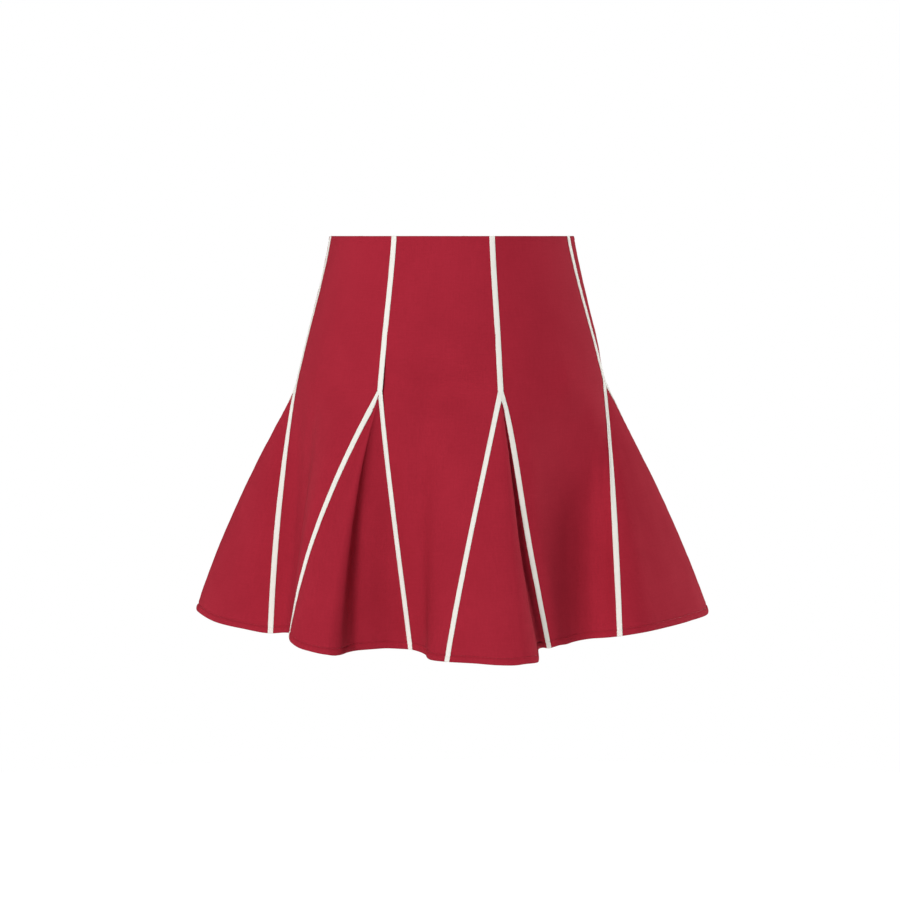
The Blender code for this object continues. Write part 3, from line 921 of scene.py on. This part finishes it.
zip_lacquer = lacquer_finish()
for node in ("zip_slider", "zip_pull"):
    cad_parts[node].data.materials[0] = zip_lacquer
woven, coil_path, coil_normals, zip_length = zip_tape()
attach(woven, "skirt")
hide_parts("zip_tape")
teeth = sew("zip_teeth", coil_path, coil_normals, zip_lacquer, ZIP_TOOTH_PITCH, ZIP_TOOTH,
            -ZIP_TEETH_UNDER, ZIP_TOOTH_SWAY)
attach(teeth, "skirt")


# ---- Studio ---------------------------------------------------------------------------
# A pale floor far below the hem, glowing with painted light that is dim in the middle and white
# farther
# out, and plain soft light: a large one from above the camera's left shoulder, one from behind on
# either side, and pale walls all round.
FLOOR_HEIGHT = -0.95
FLOOR_RADIUS = 2.4
PAINTED_GLOW_FROM = 1.05             # metres from the middle where the floor's painted glow starts to turn white and how much whiter the painted glow is per metre
PAINTED_GLOW_RISE = 3.0              # and how much whiter it is per metre
AIM = Vector((0.0, 0.0, -0.22))     # where the lights point


def floor():
    shape = bmesh.new()
    bmesh.ops.create_circle(shape, cap_ends=True, segments=96, radius=FLOOR_RADIUS)
    bmesh.ops.translate(shape, vec=(0.0, 0.0, FLOOR_HEIGHT), verts=shape.verts)
    mesh = bpy.data.meshes.new("studio_floor")
    shape.to_mesh(mesh)
    shape.free()
    made = bpy.data.objects.new("studio_floor", mesh)
    bpy.context.scene.collection.objects.link(made)
    # Painted light: the floor glows, dimly in the middle and white farther out, and its own colour
    # darkens where the white glow takes over.
    finish = Finish("studio_floor", {"Roughness": 0.9, "Emission Strength": 1.0})
    place = finish.node("ShaderNodeTexCoord", {}, {}, output=3)
    away = finish.node("ShaderNodeVectorMath", {"operation": "LENGTH"}, {0: place}, output=1)
    painted_glow = ((away - PAINTED_GLOW_FROM) * PAINTED_GLOW_RISE).math("MAXIMUM", 0.0).math("MINIMUM", 1.0)
    finish.feed(finish.shader.inputs["Emission Color"],
                finish.mix(painted_glow, (0.15, 0.15, 0.15, 1), (1, 1, 1, 1)))
    finish.feed(finish.shader.inputs["Base Color"],
                finish.mix(painted_glow, (0.8, 0.8, 0.8, 1), (0.1, 0.1, 0.1, 1)))
    mesh.materials.append(finish.material)


def softbox(name, place, size, power):
    data = bpy.data.lights.new(name, "AREA")
    data.shape = "SQUARE"
    data.size = size
    data.energy = power
    made = bpy.data.objects.new(name, data)
    bpy.context.scene.collection.objects.link(made)
    made.location = place
    made.rotation_euler = (AIM - made.location).to_track_quat("-Z", "Y").to_euler()


def walls(seen, given):
    """Pale studio walls: how bright they look, and how much light they give."""
    world = bpy.data.worlds.new("studio_walls")
    bpy.context.scene.world = world
    world.use_nodes = True
    nodes = world.node_tree.nodes
    links = world.node_tree.links
    light = nodes["Background"]
    light.inputs["Color"].default_value = (given, given, given, 1.0)
    backdrop = nodes.new("ShaderNodeBackground")
    backdrop.inputs["Color"].default_value = (seen, seen, seen, 1.0)
    path = nodes.new("ShaderNodeLightPath")
    either = nodes.new("ShaderNodeMixShader")
    links.new(path.outputs["Is Camera Ray"], either.inputs[0])
    links.new(light.outputs[0], either.inputs[1])
    links.new(backdrop.outputs[0], either.inputs[2])
    links.new(either.outputs[0], nodes["World Output"].inputs["Surface"])


floor()
softbox("front_light", (-0.75, -3.07, 1.5), 0.9, 106.0)
softbox("left_light", (-2.57, 0.83, 0.1), 1.6, 24.0)
softbox("right_light", (2.38, 1.27, 0.1), 1.2, 62.0)
walls(1.0, 0.03)
bpy.context.scene.view_settings.view_transform = "Standard"
